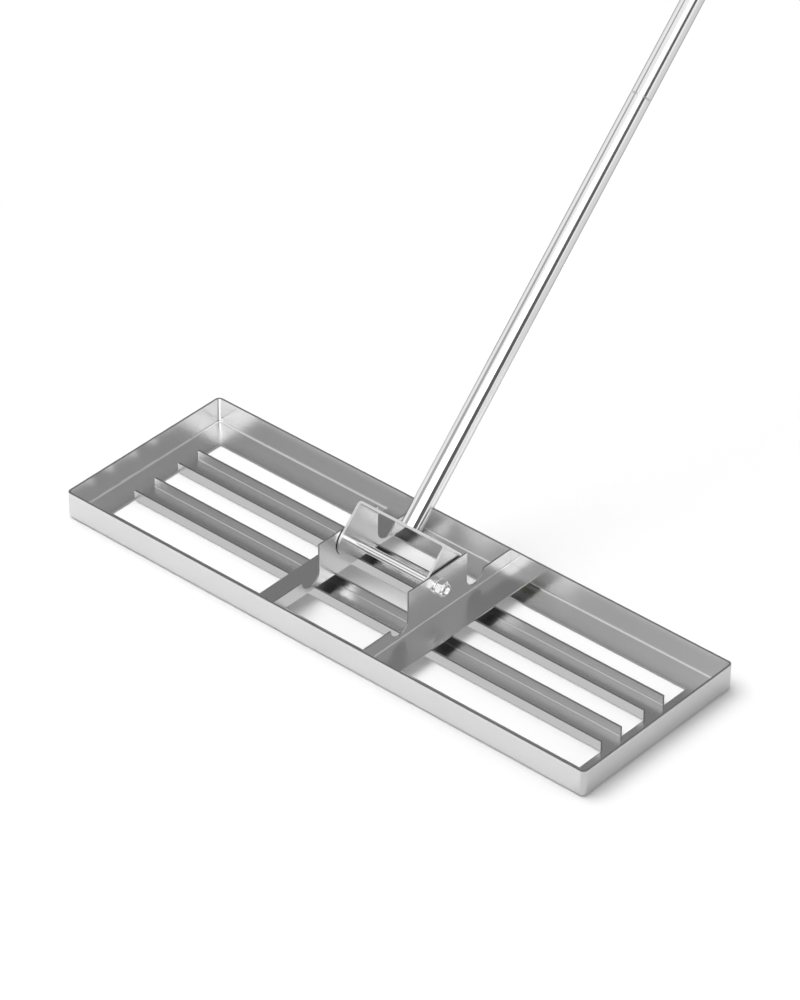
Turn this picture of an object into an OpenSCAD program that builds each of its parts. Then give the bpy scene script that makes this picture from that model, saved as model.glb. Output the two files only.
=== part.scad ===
// Lawn leveling rake: a slotted grading pan with a tilting handle in three screwed sections.
// X runs along the pan, Y from its front to its back, Z up.
// The origin is the centre of the pan's outline, on the ground.

/* [Pan] */
// Length of the pan, left to right
pan_len = 762; // [600:1:1000]
// Depth of the pan, front to back
pan_depth = 254; // [240:1:320]
// Height of the pan's walls
pan_h = 35; // [28:1:45]
// Thickness of the pan's sheet
sheet_t = 2.5; // [1.5:0.1:3]
// Outer radius of the fold between the pan's floor and its walls
fold_r = 5; // [3.5:0.5:5.5]
// Outer radius of the pan's upright corners
corner_r = 6; // [6:0.5:12]

/* [Slots and bars] */
// Width of each of the three slots
slot_w = 36.5; // [28:0.5:40]
// Width of each of the two bars between the slots
bar_w = 36; // [28:0.5:40]
// Sheet left between a slot's end and the end of the pan
end_margin = 35.5; // [20:0.5:60]
// Height of the bars' turned-up edges above the ground
lip_h = 14.5; // [10:0.5:20]
// Outer radius of the bars' folds
lip_fold_r = 3.5; // [3.2:0.1:5]
// Relief gap at each end of a turned-up edge
lip_relief = 1; // [0.5:0.1:3]

/* [Saddle rails] */
// Gap between the two ears
ear_gap = 129.5; // [100:0.5:180]
// Width of a rail's foot
foot_w = 40; // [25:0.5:50]
// Thickness of the rails' sheet
rail_t = 2; // [1.5:0.1:3]
// Outer radius of a rail's fold
rail_fold_r = 3.5; // [3.2:0.1:5]
// Width of an ear, front to back
ear_w = 98; // [70:1:120]
// Height of an ear above the pivot
ear_over = 18.5; // [14:0.5:30]
// Radius of the scoops beside an ear
scoop_r = 14.5; // [6:0.5:20]
// Web left between a scoop and the rail's foot
scoop_web = 5; // [3.5:0.5:10]
// Size of the weld beads under the rails' ends
bead_r = 2; // [1:0.1:3]

/* [Pivot] */
// Height of the pivot above the ground
pivot_z = 53.5; // [48:0.5:70]
// Diameter of the pivot bolt
bolt_d = 10; // [8:0.5:12]
// Width across flats of the bolt's head and nut
hex_af = 17; // [15:0.5:20]
// Height of the bolt's head
head_h = 6.4; // [5:0.1:8]
// Height of the lock nut's hexagon
nut_h = 8; // [6:0.5:12]
// Height of the lock nut's round collar
collar_h = 2; // [1.5:0.5:4]
// Outer diameter of the steel washers
washer_d = 20; // [18:0.5:26]
// Thickness of the steel washers
washer_t = 2; // [1:0.1:3]
// Gap between a cheek and its ear, filled by a friction washer
cheek_gap = 1; // [0.8:0.1:2]
// Radial thickness of the nut's nylon ring
ring_wall = 1.8; // [1.2:0.1:2.5]
// Depth of the nylon ring's seat in the nut's hexagon
ring_seat = 1; // [0.5:0.1:2]
// Wall of the nut's collar round the nylon ring
collar_wall = 1; // [0.6:0.1:1.4]
// Thickness of the collar's rolled edge in front of the nylon ring
collar_edge = 0.5; // [0.3:0.1:1]
// Width of the collar's rolled edge over the nylon ring
edge_w = 0.6; // [0.3:0.1:1]
// Length of bolt that stands out of the nut
bolt_end = 1.5; // [1:0.1:4]
// Chamfer of the bolt's end
bolt_tip = 1; // [0.5:0.1:1.5]

/* [Tilt bracket] */
// Thickness of the bracket
bracket_t = 3; // [2:0.5:4]
// Width of the bracket's strip
bracket_w = 41; // [36:0.5:46]
// Distance from the pivot to the face that the handle stands on
bracket_reach = 44; // [38:0.5:60]
// Outer radius of the bracket's bends
bracket_bend_r = 4.5; // [4.2:0.1:8]
// Angle of the handle above the ground at rest
rest_angle = 45; // [30:1:75]

/* [Handle] */
// Outer diameter of the tubes
tube_d = 25; // [24:0.5:32]
// Wall of the tubes
tube_wall = 0.8; // [0.6:0.1:1.5]
// Length of each of the three tubes
tube_len = 540; // [400:1:620]
// Diameter of the threaded studs
stud_d = 16; // [12:1:18]
// Length of the threaded studs
stud_len = 26; // [15:1:40]
// Chamfer of a stud's end
stud_tip = 1.5; // [0.5:0.1:2.5]
// Bottom of the threaded sockets past the hole
socket_floor = 5; // [2:1:10]
// Length of a spigot's plug inside its tube
plug_len = 30; // [15:1:45]
// Thickness of the shoulder between two tubes
shoulder_t = 2; // [1:0.5:5]
// Length of the grip
grip_len = 130; // [90:1:180]
// Wall of the grip
grip_wall = 4; // [3:0.5:6]
// Distance between the grip's grooves
groove_pitch = 8; // [6:1:14]
// Depth of the grip's grooves
groove_depth = 1.2; // [0.6:0.1:1.5]
// Thickness of the end cap's disc
cap_t = 5; // [3:0.5:10]
// Chamfer of the end cap's disc
cap_edge = 1.5; // [0.5:0.1:2.5]
// Length of the end cap's plug
cap_plug_len = 20; // [10:1:40]
// Diameter of the hanging hole
hang_d = 10; // [6:0.5:12]
// Thickness of the hanging eye
eye_t = 9; // [6:0.5:14]
// Material round the hanging hole
eye_rim = 6; // [4:0.5:9]

/* [Fits] */
// Radial play of a turning fit
turn_play = 0.08; // [0.02:0.01:0.1]
// Radial play of a fixed fit
fixed_play = 0.05; // [0.02:0.01:0.1]
// Play on each side of a friction washer
side_play = 0.05; // [0.02:0.01:0.2]
// Free depth past the end of a threaded stud
blind_play = 1; // [0.5:0.5:4]

/* [Hidden] */
$fn = 96;

// Overshoot of a cut past the face that it leaves through
over = 1;
steel = "silver";
zinc = "gainsboro";

// The pan's inner faces and the places of its slots and bars
wall_y = pan_depth / 2 - sheet_t;
slot_end = pan_len / 2 - end_margin;
slot_pitch = slot_w + bar_w;

// The rails lie on the bars' turned-up edges
foot_z = lip_h;
foot_top = foot_z + rail_t;
ear_in = ear_gap / 2;
ear_out = ear_in + rail_t;
ear_top = pivot_z + ear_over;
scoop_y = ear_w / 2 + scoop_r;
scoop_z = foot_top + scoop_web + scoop_r;

// The bolt's stations along X, from its head to its end
bolt_r = bolt_d / 2;
head_x = ear_out + washer_t;
nut_x = ear_out + washer_t;
collar_x = nut_x + nut_h;
bolt_end_x = collar_x + collar_h + bolt_end;
cheek_out = ear_in - cheek_gap;
ring_r = bolt_r + fixed_play + ring_wall;
ring_back_x = collar_x - ring_seat;
ring_front_x = collar_x + collar_h - collar_edge;

// The handle's stations along its own axis, from the pivot
tube_r = tube_d / 2;
insert_r = tube_r - tube_wall - fixed_play;
thread_hole_r = stud_d / 2 + fixed_play;
lower_z = bracket_reach;
middle_z = lower_z + tube_len + shoulder_t;
upper_z = middle_z + tube_len + shoulder_t;
handle_end = upper_z + tube_len;
grip_z = handle_end - grip_len;
grip_r = tube_r + fixed_play + grip_wall;
eye_r = hang_d / 2 + eye_rim;
eye_z = handle_end + cap_t + eye_r;

// A box from one corner to the opposite corner
module span(low, high) {
    translate(low) cube(high - low);
}

// A round bar along X, from x0 to x1
module rod_x(r, x0, x1) {
    translate([x0, 0, 0]) rotate([0, 90, 0]) cylinder(r = r, h = x1 - x0);
}

// Section of an angle: a foot along +X, a web along +Y and a fold at the origin's corner
module angle_section(foot, web, t, r) {
    difference() {
        union() {
            translate([r, 0]) square([foot - r, t]);
            translate([0, r]) square([t, web - r]);
            intersection() {
                translate([r, r]) circle(r = r);
                square([r, r]);
            }
        }
        translate([r, r]) circle(r = r - t);
    }
}

// Section of the pan's rim, outwards along +X from a corner's centre: floor, fold and wall
module rim_section() {
    translate([corner_r, 0]) mirror([1, 0]) angle_section(corner_r, pan_h, sheet_t, fold_r);
}

// The folded pan before its slots are cut
module tray() {
    x = pan_len / 2 - corner_r;
    y = pan_depth / 2 - corner_r;
    span([-x, -y, 0], [x, y, sheet_t]);
    for (sx = [0, 1], sy = [0, 1]) mirror([sx, 0, 0]) mirror([0, sy, 0])
        translate([x, y, 0]) rotate_extrude(angle = 90) rim_section();
    for (side = [0, 1]) mirror([side, 0, 0])
        translate([x, y, 0]) rotate([90, 0, 0]) linear_extrude(height = 2 * y) rim_section();
    for (side = [0, 1]) mirror([0, side, 0])
        translate([-x, y, 0]) rotate([90, 0, 90]) linear_extrude(height = 2 * x) rim_section();
}

// One turned-up edge of a bar along X, its upright face on y = 0 and its foot towards +Y
module lip() {
    length = 2 * (slot_end - lip_relief);
    translate([-length / 2, 0, 0]) rotate([90, 0, 90])
        linear_extrude(height = length) angle_section(2 * lip_fold_r, lip_h, sheet_t, lip_fold_r);
}

module grading_pan() {
    color(steel) {
        difference() {
            tray();
            for (i = [-1 : 1]) translate([0, i * slot_pitch, 0])
                span([-slot_end, -slot_w / 2, -over], [slot_end, slot_w / 2, sheet_t + over]);
            for (i = [-1, 1], side = [-1, 1]) translate([0, (i * slot_pitch + side * bar_w) / 2, 0])
                span([-slot_end, -lip_fold_r, -over], [slot_end, lip_fold_r, sheet_t + over]);
        }
        for (i = [-1, 1], side = [0, 1]) translate([0, i * slot_pitch / 2, 0])
            mirror([0, side, 0]) translate([0, -bar_w / 2, 0]) lip();
    }
}

// The outline of a rail's web, seen along X: Y across, Z up
module web_outline() {
    difference() {
        union() {
            translate([-wall_y, foot_z]) square([2 * wall_y, pan_h - foot_z]);
            translate([-ear_w / 2, foot_z]) square([ear_w, ear_top - foot_z]);
        }
        for (side = [-1, 1]) translate([side * scoop_y, scoop_z]) {
            circle(r = scoop_r);
            translate([-scoop_r, 0]) square([2 * scoop_r, ear_top]);
        }
        translate([0, pivot_z]) circle(r = bolt_r + fixed_play);
    }
}

// The right-hand rail: its web at the ear's place and its foot outwards
module saddle_rail() {
    difference() {
        translate([ear_in, wall_y, foot_z]) rotate([90, 0, 0])
            linear_extrude(height = 2 * wall_y) angle_section(foot_w, ear_top - foot_z, rail_t, rail_fold_r);
        difference() {
            span(
                [ear_in - over, -wall_y - over, foot_top + scoop_web / 2],
                [ear_out + over, wall_y + over, ear_top + over]
            );
            translate([ear_in - 2 * over, 0, 0]) rotate([90, 0, 90])
                linear_extrude(height = rail_t + 4 * over) web_outline();
        }
    }
}

module right_saddle_rail() {
    color(steel) saddle_rail();
}

module left_saddle_rail() {
    color(steel) mirror([1, 0, 0]) saddle_rail();
}

// Quarter-round beads under the rails' feet, along the pan's walls
module rail_welds() {
    color("lightslategray")
    for (sx = [0, 1], sy = [0, 1]) mirror([sx, 0, 0]) mirror([0, sy, 0]) intersection() {
        translate([0, wall_y, foot_z]) rod_x(bead_r, ear_in + rail_fold_r, ear_in + foot_w);
        span([ear_in, wall_y - bead_r, foot_z - bead_r], [ear_in + foot_w, wall_y, foot_z]);
    }
}

// A hexagon along +X from the origin, its outer corners turned off at 30 degrees
module hexagon_x(af, height) {
    point_r = af / 2 / cos(30);
    face_r = 0.95 * af / 2;
    chamfer_h = (point_r - face_r) * tan(30);
    intersection() {
        rotate([0, 90, 0]) rotate([0, 0, 30]) cylinder(r = point_r, h = height, $fn = 6);
        union() {
            rod_x(point_r, 0, height - chamfer_h);
            translate([height - chamfer_h, 0, 0]) rotate([0, 90, 0])
                cylinder(r1 = point_r, r2 = face_r, h = chamfer_h);
        }
    }
}

module at_pivot() {
    translate([0, 0, pivot_z]) children();
}

module pivot_bolt() {
    color(zinc) at_pivot() {
        mirror([1, 0, 0]) translate([head_x, 0, 0]) hexagon_x(hex_af, head_h);
        rod_x(bolt_r, -head_x, bolt_end_x - bolt_tip);
        translate([bolt_end_x - bolt_tip, 0, 0]) rotate([0, 90, 0])
            cylinder(r1 = bolt_r, r2 = bolt_r - bolt_tip, h = bolt_tip);
    }
}

// A flat ring along X
module ring_x(r_out, r_in, x0, x1) {
    difference() {
        rod_x(r_out, x0, x1);
        rod_x(r_in, x0 - over, x1 + over);
    }
}

module bolt_head_washer() {
    color(zinc) at_pivot() ring_x(washer_d / 2, bolt_r + fixed_play, -head_x, -ear_out);
}

module nut_washer() {
    color(zinc) at_pivot() ring_x(washer_d / 2, bolt_r + fixed_play, ear_out, nut_x);
}

module friction_washers() {
    color("ivory") at_pivot()
    for (side = [0, 1]) mirror([side, 0, 0])
        ring_x(washer_d / 2, bolt_r + fixed_play, cheek_out + side_play, ear_in - side_play);
}

// The nylon ring's seat is a groove between the hexagon and the collar's rolled edge
module lock_nut() {
    color(zinc) at_pivot() difference() {
        union() {
            translate([nut_x, 0, 0]) hexagon_x(hex_af, nut_h);
            rod_x(ring_r + fixed_play + collar_wall, ring_back_x, collar_x + collar_h);
        }
        rod_x(bolt_r + fixed_play, nut_x - over, collar_x + collar_h + over);
        rod_x(ring_r + fixed_play, ring_back_x, ring_front_x);
        rod_x(ring_r - edge_w, ring_back_x, collar_x + collar_h + over);
    }
}

module lock_nut_ring() {
    color("royalblue") at_pivot() ring_x(ring_r, bolt_r + fixed_play, ring_back_x, ring_front_x);
}

// Places what is drawn with the handle's axis along +Z and the pivot at the origin
module on_handle() {
    at_pivot() rotate([rest_angle - 90, 0, 0]) children();
}

// The bracket's strip, seen from the front: a bridge with two legs
module bridge_section() {
    r = bracket_bend_r;
    foot = -bracket_w / 2;
    difference() {
        union() {
            translate([-cheek_out, foot]) square([2 * cheek_out, bracket_reach - r - foot]);
            translate([r - cheek_out, foot]) square([2 * (cheek_out - r), bracket_reach - foot]);
            for (side = [-1, 1]) translate([side * (cheek_out - r), bracket_reach - r]) circle(r = r);
        }
        x = cheek_out - r;
        y = bracket_reach - r;
        inner_r = r - bracket_t;
        translate([-x - inner_r, foot - over]) square([2 * (x + inner_r), y - foot + over]);
        translate([-x, foot - over]) square([2 * x, y + inner_r - foot + over]);
        for (side = [-1, 1]) translate([side * x, y]) circle(r = inner_r);
    }
}

module tilt_bracket() {
    half_w = bracket_w / 2;
    color(steel) on_handle() difference() {
        intersection() {
            translate([0, half_w, 0]) rotate([90, 0, 0]) linear_extrude(height = bracket_w) bridge_section();
            union() {
                rod_x(half_w, -cheek_out - over, cheek_out + over);
                span([-cheek_out - over, -half_w, 0], [cheek_out + over, half_w, bracket_reach + over]);
            }
        }
        rod_x(bolt_r + turn_play, -cheek_out - over, cheek_out + over);
        translate([0, 0, bracket_reach - bracket_t - over])
            cylinder(r = thread_hole_r, h = bracket_t + 2 * over);
    }
}

// A threaded stud from z0 up, with its end turned off
module stud(z0, z1) {
    translate([0, 0, z0]) cylinder(d = stud_d, h = z1 - z0 - stud_tip);
    translate([0, 0, z1 - stud_tip]) cylinder(d1 = stud_d, d2 = stud_d - 2 * stud_tip, h = stud_tip);
}

module bracket_stud() {
    color(zinc) on_handle() stud(bracket_reach - bracket_t, bracket_reach + stud_len);
}

module tube(z0) {
    color(steel) on_handle() translate([0, 0, z0]) difference() {
        cylinder(r = tube_r, h = tube_len);
        translate([0, 0, -over]) cylinder(r = tube_r - tube_wall, h = tube_len + 2 * over);
    }
}

// The threaded insert in a tube's lower end
module socket(z0) {
    color(zinc) on_handle() translate([0, 0, z0]) difference() {
        cylinder(r = insert_r, h = stud_len + blind_play + socket_floor);
        translate([0, 0, -over]) cylinder(r = thread_hole_r, h = stud_len + blind_play + over);
    }
}

// The plug in a tube's upper end, its shoulder between the tubes and its stud
module spigot(z0) {
    color(zinc) on_handle() {
        translate([0, 0, z0 - shoulder_t - plug_len]) cylinder(r = insert_r, h = plug_len);
        translate([0, 0, z0 - shoulder_t]) cylinder(r = tube_r, h = shoulder_t);
        stud(z0, z0 + stud_len);
    }
}

module lower_tube() {
    tube(lower_z);
}

module lower_tube_socket() {
    socket(lower_z);
}

module lower_tube_spigot() {
    spigot(middle_z);
}

module middle_tube() {
    tube(middle_z);
}

module middle_tube_socket() {
    socket(middle_z);
}

module middle_tube_spigot() {
    spigot(upper_z);
}

module upper_tube() {
    tube(upper_z);
}

module upper_tube_socket() {
    socket(upper_z);
}

// A rubber sleeve with round grooves between two plain bands
module grip_sleeve() {
    band = 2 * groove_pitch;
    grooves = floor((grip_len - 2 * band) / groove_pitch);
    first = grip_z + (grip_len - (grooves - 1) * groove_pitch) / 2;
    groove_r = groove_pitch / 4;
    color("dimgray") on_handle() rotate_extrude() difference() {
        translate([tube_r + fixed_play, grip_z]) square([grip_wall, grip_len]);
        for (i = [0 : grooves - 1]) translate([grip_r + groove_r - groove_depth, first + i * groove_pitch])
            circle(r = groove_r, $fn = 32);
    }
}

// A plug, a disc over the grip's end and an eye to hang the tool by
module end_cap() {
    rim_z = handle_end + cap_t - cap_edge;
    color("dimgray") on_handle() difference() {
        union() {
            translate([0, 0, handle_end - cap_plug_len]) cylinder(r = insert_r, h = cap_plug_len);
            translate([0, 0, handle_end]) cylinder(r = grip_r, h = rim_z - handle_end);
            translate([0, 0, rim_z]) cylinder(r1 = grip_r, r2 = grip_r - cap_edge, h = cap_edge);
            translate([0, 0, eye_z]) rod_x(eye_r, -eye_t / 2, eye_t / 2);
            span([-eye_t / 2, -eye_r, handle_end], [eye_t / 2, eye_r, eye_z]);
        }
        translate([0, 0, eye_z]) rod_x(hang_d / 2, -eye_t, eye_t);
    }
}

grading_pan();
left_saddle_rail();
right_saddle_rail();
rail_welds();
pivot_bolt();
bolt_head_washer();
nut_washer();
friction_washers();
lock_nut();
lock_nut_ring();
tilt_bracket();
bracket_stud();
lower_tube();
lower_tube_socket();
lower_tube_spigot();
middle_tube();
middle_tube_socket();
middle_tube_spigot();
upper_tube();
upper_tube_socket();
grip_sleeve();
end_cap();
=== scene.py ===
"""Looks of the lawn leveling rake: its satin sheet pan, saddle rails, pivot and tube handle.

Sizes are in metres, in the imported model's own frame: X along the pan, Y from its front to its
back, Z up, and the origin under the pan's centre. Turned pieces are made upright round Z and
then set down in their place.
"""

from __future__ import annotations

import logging
import math
from collections.abc import Callable, Iterator, Sequence
from contextlib import contextmanager
from dataclasses import dataclass
from enum import Enum

import bmesh
import bpy
from bpy.types import Material, NodeSocket, Object, World
from mathutils import Matrix, Vector

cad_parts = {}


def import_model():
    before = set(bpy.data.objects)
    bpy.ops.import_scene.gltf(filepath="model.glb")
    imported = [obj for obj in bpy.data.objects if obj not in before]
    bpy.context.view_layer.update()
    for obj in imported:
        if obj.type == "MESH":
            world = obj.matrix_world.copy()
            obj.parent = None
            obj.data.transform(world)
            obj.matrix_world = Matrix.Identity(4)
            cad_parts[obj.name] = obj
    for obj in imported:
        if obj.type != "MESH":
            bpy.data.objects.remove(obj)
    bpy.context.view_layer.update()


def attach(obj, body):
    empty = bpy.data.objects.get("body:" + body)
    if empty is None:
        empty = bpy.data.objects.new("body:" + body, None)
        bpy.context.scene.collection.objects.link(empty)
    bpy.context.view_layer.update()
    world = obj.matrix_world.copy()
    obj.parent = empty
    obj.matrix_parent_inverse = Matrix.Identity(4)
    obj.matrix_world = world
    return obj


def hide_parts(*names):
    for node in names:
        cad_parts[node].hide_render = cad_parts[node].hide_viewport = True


LOG = logging.getLogger("rake")

Point = tuple[float, float, float]
Station = tuple[float, float]
Test = Callable[[Vector, Vector], bool]

# Two points closer than this are one point
SAME = 1e-6
# An edge or a normal runs along an axis when more than this part of it does
ALONG = 0.9
# How far a cutter reaches past what it cuts
OVER = 0.001
# Edges sharper than this are rounded off, and flatter ones than the second are shaded smooth
SHARP = math.radians(40)
SMOOTH = math.radians(35)
# Place of the cut edges' finish in a sheet part's list of materials
CUT_EDGE = 1
# The pivot's height, and the handle's angle above the ground at rest
PIVOT_HEIGHT = 0.0535
REST_ANGLE = math.radians(45)
# Frames of what stays in place, and of what is made upright: along the bolt, and the handle
IN_PLACE = Matrix()
LYING = Matrix.Rotation(math.pi / 2, 4, "Y")
LEANING = Matrix.Rotation(REST_ANGLE - math.pi / 2, 4, "X")
ALONG_BOLT = Matrix.Translation((0, 0, PIVOT_HEIGHT)) @ LYING
ALONG_HANDLE = Matrix.Translation((0, 0, PIVOT_HEIGHT)) @ LEANING
WHITE = (1.0, 1.0, 1.0, 1.0)


class Body(Enum):
    """The bodies that the pieces ride on."""

    HEAD = "rake_head"
    HANDLE = "handle"


class Slot(Enum):
    """The record's material slots."""

    PAN = "pan_steel"
    RAIL = "rail_steel"
    BRACKET = "bracket_steel"
    TUBE = "tube_steel"
    WELD = "weld_steel"
    HARDWARE = "hardware_steel"
    INSERT = "insert_aluminium"
    NYLON = "nylon_white"
    GRIP = "grip_rubber"
    CAP = "cap_plastic"


class On(Enum):
    """What a selection takes."""

    VERT = "VERT"
    EDGE = "EDGE"
    FACE = "FACE"


class Cut(Enum):
    """What is left where one piece meets another."""

    AWAY = "DIFFERENCE"
    COMMON = "INTERSECT"
    BOTH = "UNION"


# Modelling bench


def take_up(piece: Object) -> None:
    """Make a piece the active one, and the only one selected.

    Args:
        piece: The piece.
    """
    bpy.ops.object.select_all(action="DESELECT")
    piece.select_set(True)
    bpy.context.view_layer.objects.active = piece


def start(add: Callable[..., object], **settings: object) -> Object:
    """Add a primitive with nothing else selected.

    Args:
        add: The operator that adds it.
        settings: The operator's settings.

    Returns:
        The new piece.
    """
    bpy.ops.object.select_all(action="DESELECT")
    add(**settings)
    return bpy.context.object


@contextmanager
def at_work(piece: Object, on: On = On.FACE) -> Iterator[None]:
    """Hold a piece in edit mode, with all of it selected at first.

    Args:
        piece: The piece to work on.
        on: What is selected while at work.

    Yields:
        Nothing. The piece goes back to object mode at the end.
    """
    take_up(piece)
    bpy.ops.object.mode_set(mode="EDIT")
    bpy.ops.mesh.select_mode(type=on.value)
    bpy.ops.mesh.select_all(action="SELECT")
    yield
    bpy.ops.object.mode_set(mode="OBJECT")


def pick(on: On, test: Test) -> None:
    """Select only what passes a test, on the piece at work.

    Args:
        on: Whether vertices, edges or faces are tested.
        test: Takes the middle of each, and its normal, or the direction of an edge.
    """
    bpy.ops.mesh.select_mode(type=on.value)
    bpy.ops.mesh.select_all(action="DESELECT")
    mesh = bpy.context.edit_object.data
    shape = bmesh.from_edit_mesh(mesh)
    if on is On.VERT:
        chosen = [v for v in shape.verts if test(v.co, v.normal)]
    elif on is On.FACE:
        chosen = [f for f in shape.faces if test(f.calc_center_median(), f.normal)]
    else:
        ends = [(e, e.verts[0].co, e.verts[1].co) for e in shape.edges]
        chosen = [e for e, a, b in ends if test((a + b) / 2, (b - a).normalized())]
    for element in chosen:
        element.select_set(True)
    bmesh.update_edit_mesh(mesh)


def on_ground(at: Vector, normal: Vector) -> bool:
    """Tell whether a face lies flat on the ground."""
    return at.z < SAME and normal.z < -ALONG


def pull(offset: Point) -> None:
    """Extrude what is selected by an offset."""
    bpy.ops.mesh.extrude_region_move(TRANSFORM_OT_translate={"value": offset})


def bend(test: Test, radius: float, segments: int) -> None:
    """Round the edges that pass a test, as folds or corners of a sheet."""
    pick(On.EDGE, test)
    bpy.ops.mesh.bevel(offset=radius, segments=segments, affect="EDGES")


def clean(closed: bool = True) -> None:
    """Merge the doubles of the piece at work.

    Args:
        closed: Whether it has an outside, to which its faces are turned.
    """
    bpy.ops.mesh.select_all(action="SELECT")
    bpy.ops.mesh.remove_doubles(threshold=SAME)
    if closed:
        bpy.ops.mesh.normals_make_consistent(inside=False)


def lay_sheet(low: Point, high: Point, faces_down: bool = False) -> Object:
    """Lay a flat rectangle as the start of a sheet part.

    Args:
        low: Its lowest corner.
        high: Its highest corner, at the same height.
        faces_down: Whether its outside is underneath.

    Returns:
        The new piece.
    """
    piece = start(bpy.ops.mesh.primitive_plane_add, size=1.0)
    with at_work(piece):
        bpy.ops.transform.resize(value=(high[0] - low[0], high[1] - low[1], 1.0))
        bpy.ops.transform.translate(value=[(a + b) / 2 for a, b in zip(low, high)])
        if faces_down:
            bpy.ops.mesh.flip_normals()
    return piece


def add_rod(radius: float, low: Point, high: Point, sides: int = 96) -> Object:
    """Add a round or six-sided bar between two points, as a start or as a cutter.

    Args:
        radius: Radius over its corners.
        low: Middle of its first end.
        high: Middle of its other end.
        sides: How many sides it has.

    Returns:
        The new piece, with its place in its mesh.
    """
    run, middle = Vector(high) - Vector(low), (Vector(high) + Vector(low)) / 2
    turned = run.to_track_quat("Z", "Y").to_euler()
    sizes = {"vertices": sides, "radius": radius, "depth": run.length}
    piece = start(bpy.ops.mesh.primitive_cylinder_add, location=middle, rotation=turned, **sizes)
    bpy.ops.object.transform_apply(location=True, rotation=True, scale=True)
    return piece


def add_block(low: Point, high: Point) -> Object:
    """Add a block between two corners, as a cutter.

    Args:
        low: Its lowest corner.
        high: Its highest corner.

    Returns:
        The new piece, with its place in its mesh.
    """
    piece = lay_sheet(low, (high[0], high[1], low[2]))
    with at_work(piece):
        pull((0, 0, high[2] - low[2]))
        clean()
    return piece


def draw_profile(stations: Sequence[Station]) -> Object:
    """Draw a profile in the XZ plane, closed unless it starts on the Z axis.

    Args:
        stations: Radius and height of each corner, in order.

    Returns:
        The new piece, all edges and no faces.
    """
    piece = start(bpy.ops.mesh.primitive_plane_add, size=OVER)
    radius, height = stations[0]
    with at_work(piece, On.VERT):
        bpy.ops.mesh.merge(type="CENTER")
        bpy.ops.transform.translate(value=(radius, 0, height))
        for (r0, z0), (r1, z1) in zip(stations, stations[1:]):
            pull((r1 - r0, 0, z1 - z0))
        if radius > SAME:
            bpy.ops.mesh.select_all(action="SELECT")
            bpy.ops.mesh.edge_face_add()
            bpy.ops.mesh.delete(type="ONLY_FACE")
    return piece


def turn(stations: Sequence[Station], sides: int = 96) -> Object:
    """Turn a piece on the lathe: spin its profile once round the Z axis.

    Args:
        stations: Radius and height of each corner. A solid piece starts and ends on the axis,
            and a ring keeps clear of it.
        sides: How many steps the spin takes.

    Returns:
        The new piece.
    """
    piece = draw_profile(stations)
    with at_work(piece, On.EDGE):
        bpy.ops.mesh.spin(steps=sides, angle=math.tau, center=(0, 0, 0), axis=(0, 0, 1))
        clean()
    return piece


def use_modifier(piece: Object, kind: str, **settings: object) -> None:
    """Add a modifier to a piece and apply it.

    Args:
        piece: The piece.
        kind: Blender's name of the modifier type.
        settings: Its properties, by name.
    """
    take_up(piece)
    modifier = piece.modifiers.new(kind.lower(), kind)
    for name, value in settings.items():
        setattr(modifier, name, value)
    bpy.ops.object.modifier_apply(modifier=modifier.name)


def thicken(piece: Object, sheet: float) -> None:
    """Give a folded skin its sheet's thickness on the inside, and its rim the edges' finish."""
    how = {"offset": -1.0, "use_even_offset": True, "material_offset_rim": CUT_EDGE}
    use_modifier(piece, "SOLIDIFY", thickness=sheet, **how)


def cut(piece: Object, tool: Object, how: Cut = Cut.AWAY) -> None:
    """Cut, join or trim a piece with a tool, which is used up.

    On a sheet part, the cut's faces take the finish of its cut edges.

    Args:
        piece: The piece that stays.
        tool: The piece that is taken away afterwards.
        how: What is left.
    """
    if len(piece.data.materials) > 1:
        for material in piece.data.materials:
            tool.data.materials.append(material)
        for face in tool.data.polygons:
            face.material_index = CUT_EDGE
    use_modifier(piece, "BOOLEAN", operation=how.value, object=tool, solver="EXACT")
    bpy.data.objects.remove(tool)


def mirrored(piece: Object, across: Point) -> Object:
    """Make a piece's mirror image.

    Args:
        piece: The piece.
        across: -1 along each axis on which it is mirrored, and 1 along the others.

    Returns:
        The mirror image.
    """
    take_up(piece)
    bpy.ops.object.duplicate(linked=False)
    twin = bpy.context.object
    with at_work(twin):
        bpy.ops.transform.resize(value=across, center_override=(0, 0, 0))
        if math.prod(across) < 0:
            bpy.ops.mesh.flip_normals()
    return twin


def join(first: Object, *others: Object) -> None:
    """Join more pieces to the first one.

    Args:
        first: The piece that stays.
        others: The pieces that become part of it.
    """
    take_up(first)
    for other in others:
        other.select_set(True)
    bpy.ops.object.join()


def set_down(piece: Object, place: Matrix) -> None:
    """Move a piece to its place, which its mesh keeps.

    Args:
        piece: The piece.
        place: Where it goes.
    """
    piece.matrix_world = place
    take_up(piece)
    bpy.ops.object.transform_apply(location=True, rotation=True, scale=True)


def round_off(piece: Object, edge: float, segments: int = 2) -> None:
    """Round the sharp edges, then shade the rest smooth with its flats kept flat.

    Args:
        piece: The piece.
        edge: How far the rounding reaches into each face.
        segments: How many faces it takes.
    """
    limit = {"limit_method": "ANGLE", "angle_limit": SHARP}
    use_modifier(piece, "BEVEL", width=edge, segments=segments, **limit)
    bpy.ops.object.shade_smooth_by_angle(angle=SMOOTH)
    use_modifier(piece, "WEIGHTED_NORMAL", keep_sharp=True)


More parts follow.
